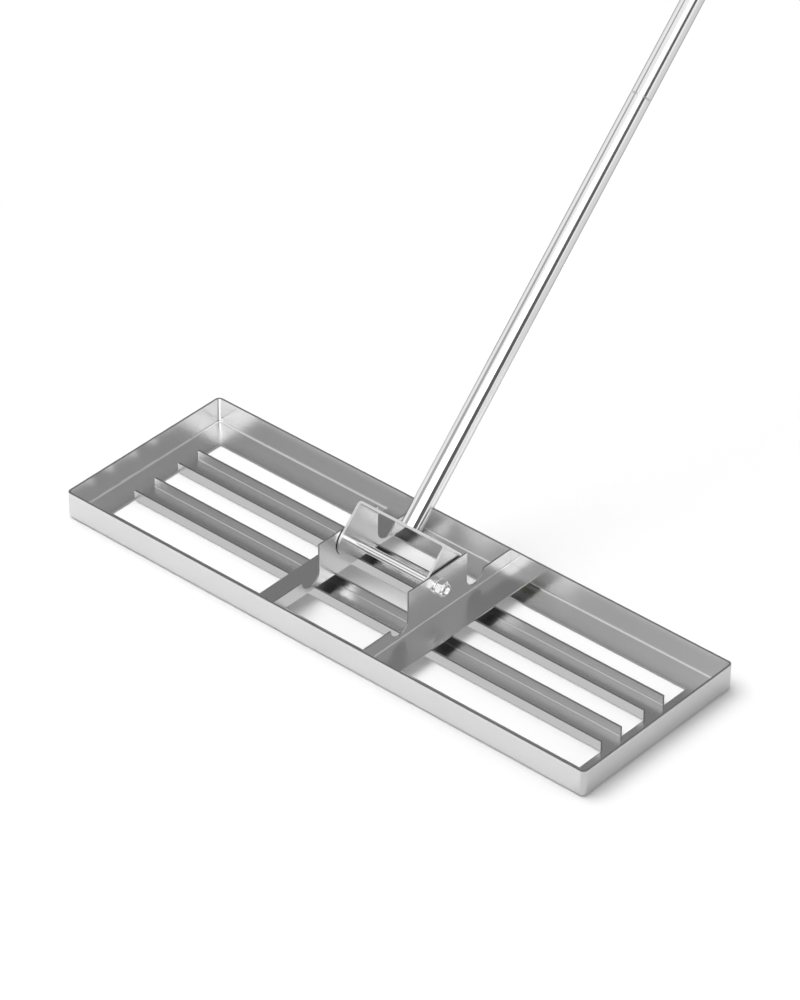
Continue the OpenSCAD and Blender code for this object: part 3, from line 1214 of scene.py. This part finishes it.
@dataclass
class TiltBracket(StuddedPart):
    """The U-bent strip between the ears, with round cheek ends, and its stud."""

    half_width: float = 0.06375
    strip: float = 0.041
    sheet: float = 0.003
    reach: float = 0.044
    fold: float = 0.0045
    pivot_hole: float = 0.00508
    stud_hole: float = 0.00805
    stud_end: float = 0.07
    stud_foot: float = 0.0005
    edge: float = 0.0003

    def build(self) -> None:
        """Bend the strip, bore it and turn the stud that the handle screws on."""
        x, y, top, low = self.half_width, self.strip / 2, self.reach, self.reach - self.sheet
        bracket = lay_sheet((-x, -y, top), (x, y, top))
        self.dress_sheet(bracket, Slot.BRACKET)
        with at_work(bracket):
            pick(On.EDGE, lambda at, along: abs(along.y) > ALONG)
            pull((0, 0, -top - y))
            bend(lambda at, along: abs(along.y) > ALONG and at.z > top - SAME, self.fold, segments=6)
            pick(On.VERT, lambda at, normal: at.z < SAME)
            bpy.ops.mesh.bevel(offset=y - SAME, segments=20, affect="VERTICES")
        thicken(bracket, self.sheet)
        cut(bracket, add_rod(self.pivot_hole, (-x - OVER, 0, 0), (x + OVER, 0, 0)))
        cut(bracket, add_rod(self.stud_hole, (0, 0, low - OVER), (0, 0, top + OVER)))
        self.hand_over(bracket, "bent_bracket", Slot.BRACKET, "tilt_bracket", self.edge)
        base = [(0, low), (self.stud - self.stud_foot, low), (self.stud, low + self.stud_foot)]
        stud = self.turn_stud(base, top, self.stud_end)
        self.hand_over(stud, "handle_stud", Slot.HARDWARE, "bracket_stud")


@dataclass
class TubeHandle(StuddedPart):
    """Three polished tubes, screwed together by inserts in their ends."""

    radius: float = 0.0125
    wall: float = 0.0008
    tube: float = 0.54
    shoulder: float = 0.002
    lower_end: float = 0.044
    stud_length: float = 0.026
    plug: float = 0.03
    socket_depth: float = 0.027
    socket_floor: float = 0.005
    play: float = 0.00005
    tube_edge: float = 0.0002
    chamfer: float = 0.001
    rim: float = 0.0004
    socket_edge: float = 0.0001
    names: tuple[str, ...] = ("lower", "middle", "upper")

    def build(self) -> None:
        """Make each section from the bracket upwards."""
        for index, name in enumerate(self.names):
            low = self.lower_end + index * (self.tube + self.shoulder)
            self.make_tube(name, low)
            self.make_socket(name, low)
            if name != self.names[-1]:
                self.make_spigot(name, low + self.tube + self.shoulder)

    def make_tube(self, name: str, low: float) -> None:
        """Draw one tube.

        Args:
            name: Which section it is.
            low: Its lower end, along the handle.
        """
        inner, outer, high = self.radius - self.wall, self.radius, low + self.tube
        tube = turn([(inner, low), (outer, low), (outer, high), (inner, high)], sides=128)
        self.hand_over(tube, name + "_polished_tube", Slot.TUBE, name + "_tube", self.tube_edge)

    def make_socket(self, name: str, low: float) -> None:
        """Turn the threaded insert in a tube's lower end.

        Args:
            name: Which section it is for.
            low: The tube's lower end.
        """
        outer, hole = self.radius - self.wall - self.play, self.stud + self.play
        edge, rim, floor = self.chamfer, self.rim, low + self.socket_depth
        end = floor + self.socket_floor
        stations = [(0, floor + edge), (hole - edge, floor), (hole, floor - edge / 2)]
        stations += [(hole, low + edge), (hole + edge, low), (outer - rim, low), (outer, low + rim)]
        socket = turn([*stations, (outer, end - edge), (outer - edge, end), (0, end)])
        names = (name + "_turned_socket", Slot.INSERT, name + "_tube_socket")
        self.hand_over(socket, *names, self.socket_edge)

    def make_spigot(self, name: str, seat: float) -> None:
        """Turn the plug in a tube's upper end, with its shoulder and its stud.

        Args:
            name: Which section it is in.
            seat: Height of the shoulder's upper face.
        """
        outer, under = self.radius - self.wall - self.play, seat - self.shoulder
        foot = under - self.plug
        base = [(0, foot), (outer - self.chamfer, foot), (outer, foot + self.chamfer)]
        base += [(outer, under), (self.radius, under), (self.radius, seat)]
        spigot = self.turn_stud(base, seat, seat + self.stud_length)
        self.hand_over(spigot, name + "_turned_spigot", Slot.INSERT, name + "_tube_spigot")


@dataclass
class GripEnd(SubAssembly):
    """The ribbed rubber grip and the cap with its hanging eye."""

    body: Body = Body.HANDLE
    place: Matrix = ALONG_HANDLE
    handle_end: float = 1.668
    length: float = 0.13
    inner: float = 0.01255
    outer: float = 0.01655
    band: float = 0.021
    pitch: float = 0.008
    grooves: int = 12
    groove_radius: float = 0.002
    groove_depth: float = 0.0012
    groove_steps: int = 6
    grip_edge: float = 0.0006
    plug_radius: float = 0.01165
    plug: float = 0.02
    chamfer: float = 0.001
    disc: float = 0.005
    disc_edge: float = 0.0015
    cap_edge: float = 0.0007
    eye: float = 0.011
    eye_hole: float = 0.005
    eye_thickness: float = 0.009

    def build(self) -> None:
        """Make the grip and the cap."""
        grip = turn(self.grip_profile())
        self.hand_over(grip, "ribbed_grip", Slot.GRIP, "grip_sleeve", self.grip_edge, segments=3)
        self.make_cap()

    def grip_profile(self) -> list[Station]:
        """Give the grip's profile with its round grooves.

        Returns:
            Radius and height of each corner.
        """
        low, high = self.handle_end - self.length, self.handle_end
        radius, steps = self.groove_radius, self.groove_steps
        middle = self.outer + radius - self.groove_depth
        reach = math.acos((middle - self.outer) / radius)
        stations = [(self.inner, low), (self.outer, low)]
        for index in range(self.grooves):
            at = low + self.band + index * self.pitch
            for step in range(steps + 1):
                angle = reach * (2 * step / steps - 1)
                stations.append((middle - radius * math.cos(angle), at + radius * math.sin(angle)))
        return [*stations, (self.outer, high), (self.inner, high)]

    def make_cap(self) -> None:
        """Turn the cap's plug and disc, raise its eye and bore it."""
        end, plug, disc, bevel = self.handle_end, self.plug_radius, self.outer, self.chamfer
        foot, rim = end - self.plug, end + self.disc
        stations = [(0, foot), (plug - bevel, foot), (plug, foot + bevel), (plug, end), (disc, end)]
        cap = turn([*stations, (disc, rim - self.disc_edge), (disc - self.disc_edge, rim), (0, rim)])
        half, centre = self.eye_thickness / 2, rim + self.eye
        eye = add_rod(self.eye, (-half, 0, centre), (half, 0, centre), sides=64)
        with at_work(eye):
            level = {"plane_co": (0, 0, centre), "plane_no": (0, 0, 1)}
            bpy.ops.mesh.bisect(**level, use_fill=True, clear_inner=True)
            pick(On.FACE, lambda at, normal: normal.z < -ALONG)
            pull((0, 0, -self.eye - self.disc / 2))
            clean()
        cut(cap, eye, Cut.BOTH)
        cut(cap, add_rod(self.eye_hole, (-half - OVER, 0, centre), (half + OVER, 0, centre)))
        self.hand_over(cap, "cap_with_eye", Slot.CAP, "end_cap", self.cap_edge, segments=3)


# Studio


def face_away(azimuth: float, elevation: float) -> Matrix:
    """Turn Z away from the rake, by degrees from its front round by its right, and degrees up."""
    lift = Matrix.Rotation(math.radians(90 - elevation), 4, "X")
    return Matrix.Rotation(math.radians(azimuth), 4, "Z") @ lift


@dataclass
class PhotoCamera:
    """The camera at the photo's angle, for a picture of 800 by 1000. Its place is in its own axes."""

    azimuth: float = 41.036
    elevation: float = 35.908
    roll: float = 0.426
    place: Point = (0.008606, 0.112006, 5.602407)
    focal_px: float = 5032.784
    long_side_px: float = 1000.0
    sensor: float = 36.0
    sees: tuple[float, float] = (0.1, 60.0)

    def make(self) -> None:
        """Add the camera and make it the scene's own."""
        data = bpy.data.cameras.new("photo_camera")
        data.sensor_fit = "AUTO"
        data.sensor_width = self.sensor
        data.lens = self.focal_px * self.sensor / self.long_side_px
        data.clip_start, data.clip_end = self.sees
        camera = bpy.data.objects.new("photo_camera", data)
        bpy.context.scene.collection.objects.link(camera)
        roll = Matrix.Rotation(math.radians(self.roll), 4, "Z")
        turned = face_away(self.azimuth, self.elevation) @ roll
        camera.matrix_world = turned @ Matrix.Translation(self.place)
        bpy.context.scene.camera = camera


@dataclass(frozen=True)
class Panel:
    """A softbox or a card that stands round the rake and faces it."""

    name: str
    azimuth: float
    elevation: float
    distance: float
    width: float
    height: float
    radiance: float

    def place(self) -> Matrix:
        """Give the panel's place, its back away from the rake."""
        return face_away(self.azimuth, self.elevation) @ Matrix.Translation((0, 0, self.distance))


@dataclass(frozen=True)
class GroundPatch:
    """A grey patch laid on the floor and seen only in the metal's reflections: painted shade where it
    lies by the rake, and grey ground further off.
    """

    name: str
    middle: tuple[float, float]
    size: tuple[float, float]
    radiance: float
    soft_edge: float
    density: float = 1.0
    above_floor: float = 0.0004

    def make(self) -> None:
        """Lay the patch, clear at its soft edges."""
        (x, y), (width, depth), z = self.middle, self.size, self.above_floor
        ground_patch = lay_sheet((x - width / 2, y - depth / 2, z), (x + width / 2, y + depth / 2, z))
        nodes = Nodes(bpy.data.materials.new(self.name))
        spot = nodes.add("TexCoord", "Object")
        centred = nodes.add("VectorMath", operation="SUBTRACT", _0=spot, _1=(x, y, 0))
        folded = nodes.add("VectorMath", operation="ABSOLUTE", _0=centred)
        parts = nodes.add("SeparateXYZ", Vector=folded).node.outputs
        cover = {}
        for axis, (size, most) in enumerate(((width, 1.0), (depth, self.density))):
            reach = {"From_Min": size / 2 - self.soft_edge, "From_Max": size / 2}
            fade = {"interpolation_type": "SMOOTHSTEP", "To_Min": most, "To_Max": 0.0, **reach}
            cover[f"_{axis}"] = nodes.add("MapRange", Value=parts[axis], **fade)
        mixed = {
            "_0": nodes.add("Math", operation="MULTIPLY", **cover),
            "_1": nodes.add("BsdfTransparent"),
            "_2": nodes.add("Emission", Color=WHITE, Strength=self.radiance),
        }
        nodes.add("OutputMaterial", Surface=nodes.add("MixShader", **mixed))
        show_in_reflections_only(ground_patch, nodes.owner)


def show_in_reflections_only(thing: Object, material: Material) -> None:
    """Dress a card or a ground patch, and hide it from everything but the metal's reflections.

    Args:
        thing: The card or the ground patch.
        material: Its material, whose name it takes.
    """
    thing.name = material.name
    thing.data.materials.append(material)
    for ray in ("camera", "diffuse", "shadow", "transmission"):
        setattr(thing, "visible_" + ray, False)


@dataclass
class Studio:
    """A pale floor, a soft lamp, cards that give the metal something to reflect, and grey ground patches
    that only its reflections see, two of them painted shade.
    """

    floor_size: float = 30.0
    room_light: float = 0.56
    lamp: Panel = Panel("left_softbox", -55.0, 71.0, 5.0, 4.0, 4.0, 3.5)
    cards: tuple[Panel, ...] = (
        Panel("front_white_card", 20.7, 40.0, 18.0, 21.0, 7.2, 3.2),
        Panel("low_white_card", 33.0, 12.0, 18.0, 9.0, 7.0, 1.6),
        Panel("back_left_grey_card", -139.0, 38.0, 18.0, 18.0, 14.0, 0.235),
        Panel("back_right_grey_card", 139.0, 38.0, 18.0, 18.0, 14.0, 0.52),
        Panel("right_black_card", 75.0, 15.0, 18.0, 9.4, 9.8, 0.13),
        Panel("left_grey_card", -50.0, 32.0, 18.0, 8.4, 8.0, 0.45),
    )
    ground_patches: tuple[GroundPatch, ...] = (
        # Painted shadow: the rake's contact shadow on the ground right of the pan, as the right end wall
        # reflects it
        GroundPatch("right_painted_shadow", (0.56, 0.08), (0.42, 0.7), 0.35, 0.03, 0.35),
        # Painted shade: the shade on the ground in the slots under the pan, as the lips reflect it
        GroundPatch("under_pan_painted_shade", (0.0, 0.0), (0.752, 0.248), 0.75, 0.001),
        # Grey ground behind the rake, 0.8 of white, seen in the reflections only
        GroundPatch("far_grey_ground", (0.0, 5.1), (14.0, 9.6), 0.8, 0.3),
    )

    def make(self) -> None:
        """Add the floor, the lamp, the cards, the ground patches and the world."""
        floor = start(bpy.ops.mesh.primitive_plane_add, size=self.floor_size)
        floor.name = "studio_floor"
        floor.data.materials.append(StudioPaper().make())
        self.add_lamp()
        for card in self.cards:
            self.add_card(card)
        for ground_patch in self.ground_patches:
            ground_patch.make()
        self.light_world()

    def add_lamp(self) -> None:
        """Add the rectangular lamp, which the metal doesn't reflect."""
        panel = self.lamp
        data = bpy.data.lights.new(panel.name, "AREA")
        data.shape = "RECTANGLE"
        data.size, data.size_y = panel.width, panel.height
        data.energy = panel.radiance * math.pi * panel.width * panel.height
        lamp = bpy.data.objects.new(panel.name, data)
        bpy.context.scene.collection.objects.link(lamp)
        lamp.matrix_world = panel.place()
        lamp.visible_glossy = False

    def add_card(self, panel: Panel) -> None:
        """Add one card, which only the metal's reflections see.

        Args:
            panel: What the card is like.
        """
        card = start(bpy.ops.mesh.primitive_plane_add, size=1.0)
        card.matrix_world = panel.place() @ Matrix.Diagonal((panel.width, panel.height, 1.0, 1.0))
        nodes = Nodes(bpy.data.materials.new(panel.name))
        glow = nodes.add("Emission", Color=WHITE, Strength=nodes.seen(panel.radiance))
        nodes.add("OutputMaterial", Surface=glow)
        show_in_reflections_only(card, nodes.owner)

    def light_world(self) -> None:
        """Give the world its even light, and white wherever it is seen."""
        nodes = Nodes(bpy.data.worlds.new("studio"))
        strength = nodes.add("MapRange", Value=nodes.seen(), To_Min=self.room_light, To_Max=1.0)
        nodes.add("OutputWorld", Surface=nodes.add("Background", Color=WHITE, Strength=strength))
        bpy.context.scene.world = nodes.owner


def main() -> None:
    """Build the rake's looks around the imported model."""
    logging.basicConfig(level=logging.INFO, format="%(name)s: %(message)s")
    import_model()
    bpy.ops.object.select_all(action="DESELECT")
    bpy.context.scene.view_settings.view_transform = "Standard"
    PhotoCamera().make()
    Studio().make()
    finishes, edges = make_finishes(), make_edge_finishes()
    for kind in (GradingPan, SaddleRails, PivotSet, TiltBracket, TubeHandle, GripEnd):
        kind(finishes, edges).build()


if __name__ == "__main__":
    main()
